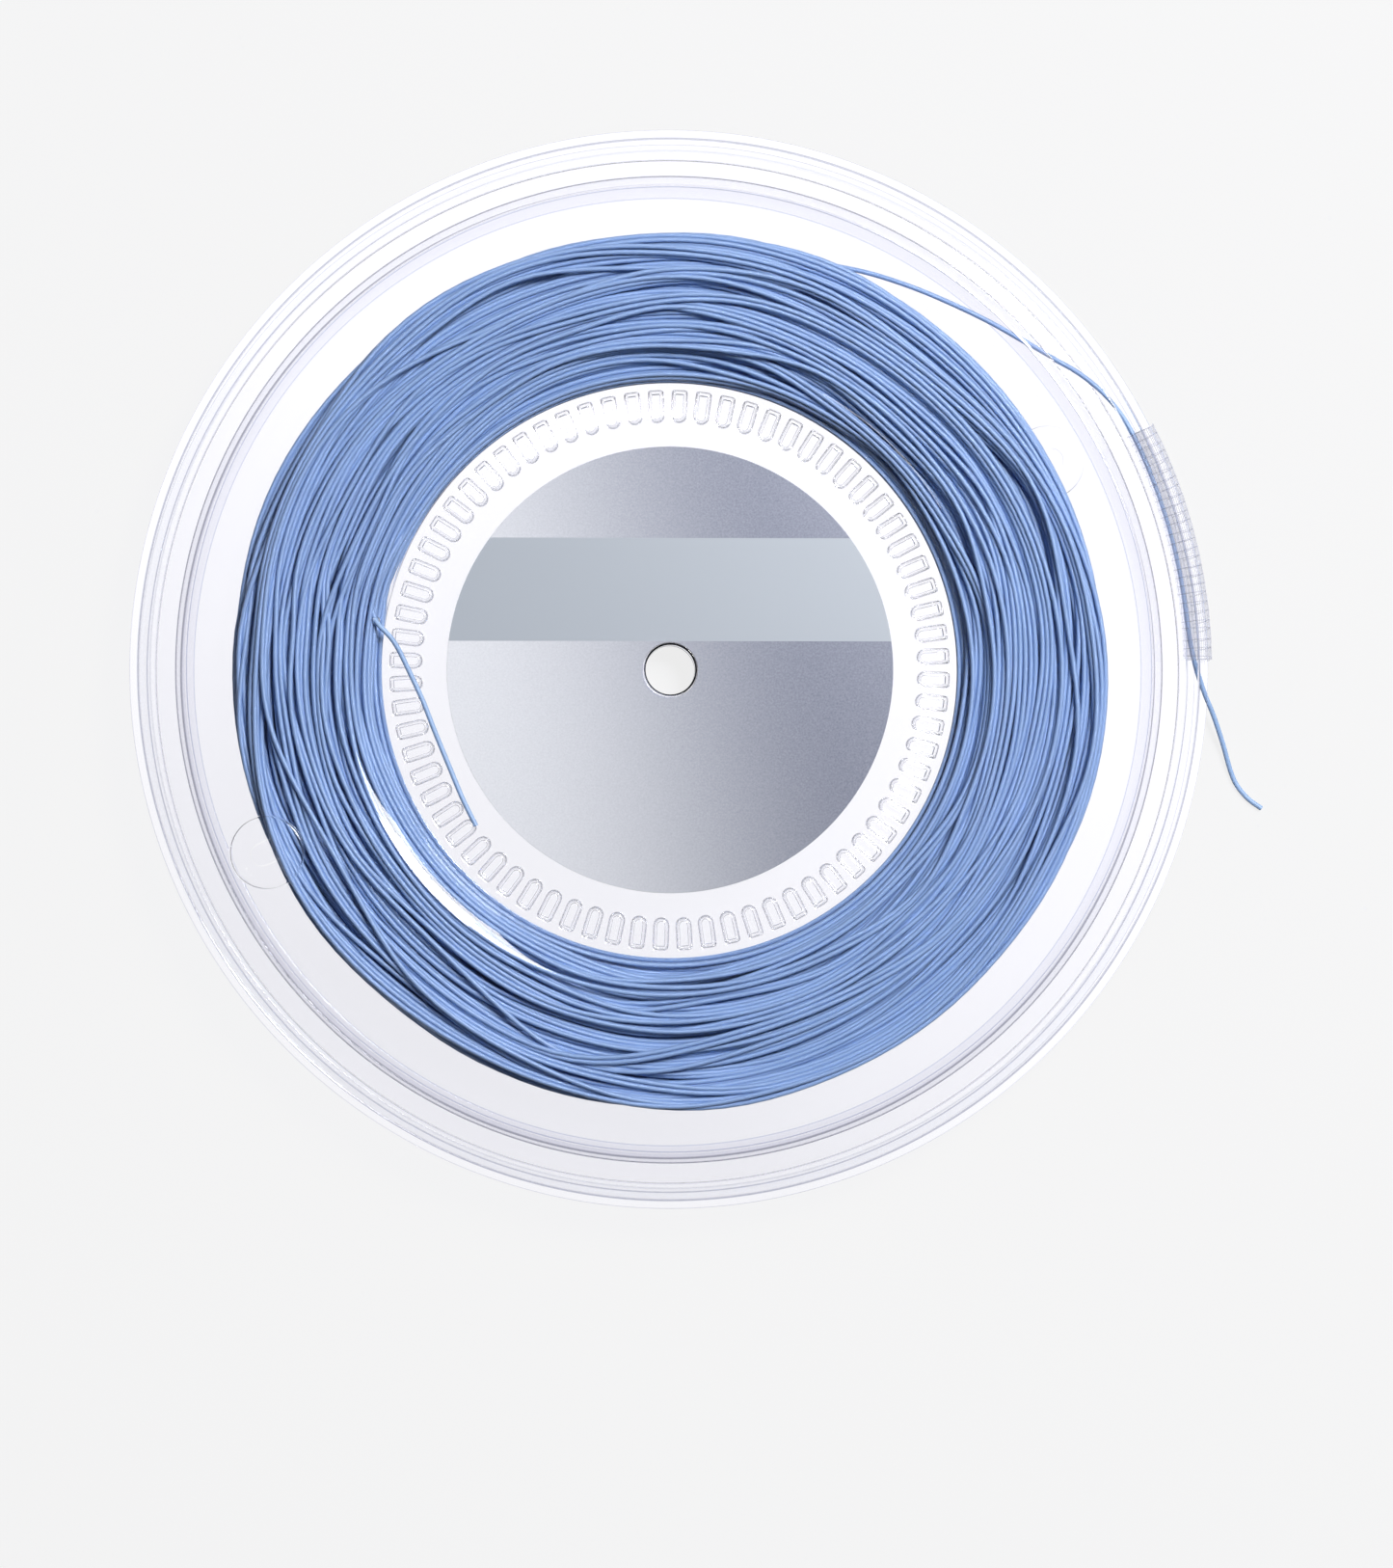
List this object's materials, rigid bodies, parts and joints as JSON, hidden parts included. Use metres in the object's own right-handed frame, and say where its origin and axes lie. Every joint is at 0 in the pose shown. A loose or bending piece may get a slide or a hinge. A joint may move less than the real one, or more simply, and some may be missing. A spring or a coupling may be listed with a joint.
{
  "type": "string reel",
  "caption": "Clear two-shell reel of racket string with a hub dish, pocketed hub wall, labels, tape over the rim and clamping tongues.",
  "frame": {"origin": "centre of the reel's lower face, on the surface that the reel lies on", "axes": "+Z along the reel's axis, up to its front face; +Y is up on the front face and +X to its right"},
  "size_m": [0.2979, 0.28, 0.0215],
  "materials": {
    "clear_sheet": "clear gloss formed PET sheet",
    "label": "satin silver film, fine speckle",
    "string": "satin light blue monofilament",
    "tape": "clear film with a thread grid"
  },
  "bodies": {
    "reel": {"front_shell": "clear_sheet", "back_shell": "clear_sheet", "front_label": "label", "back_label": "label", "string_core": "string", "string_winding": "string", "outer_tail": "string", "inner_tail": "string", "rim_tape": "tape"},
    "front_tongue": {"front_tongue": "clear_sheet"},
    "back_tongue": {"back_tongue": "clear_sheet"}
  },
  "joints": [
    {"name": "front_tongue_lift", "type": "hinge", "parent": "reel", "child": "front_tongue", "pos_m": [-0.10101, -0.04603, 0.0209], "axis": [-0.4147, 0.91, 0], "range_deg": [0, 35], "stiffness_Nm_per_rad": 0.002},
    {"name": "back_tongue_lift", "type": "hinge", "parent": "reel", "child": "back_tongue", "pos_m": [0.09708, 0.05381, 0.0003], "axis": [-0.4848, 0.8746, 0], "range_deg": [0, 35], "stiffness_Nm_per_rad": 0.002}
  ]
}
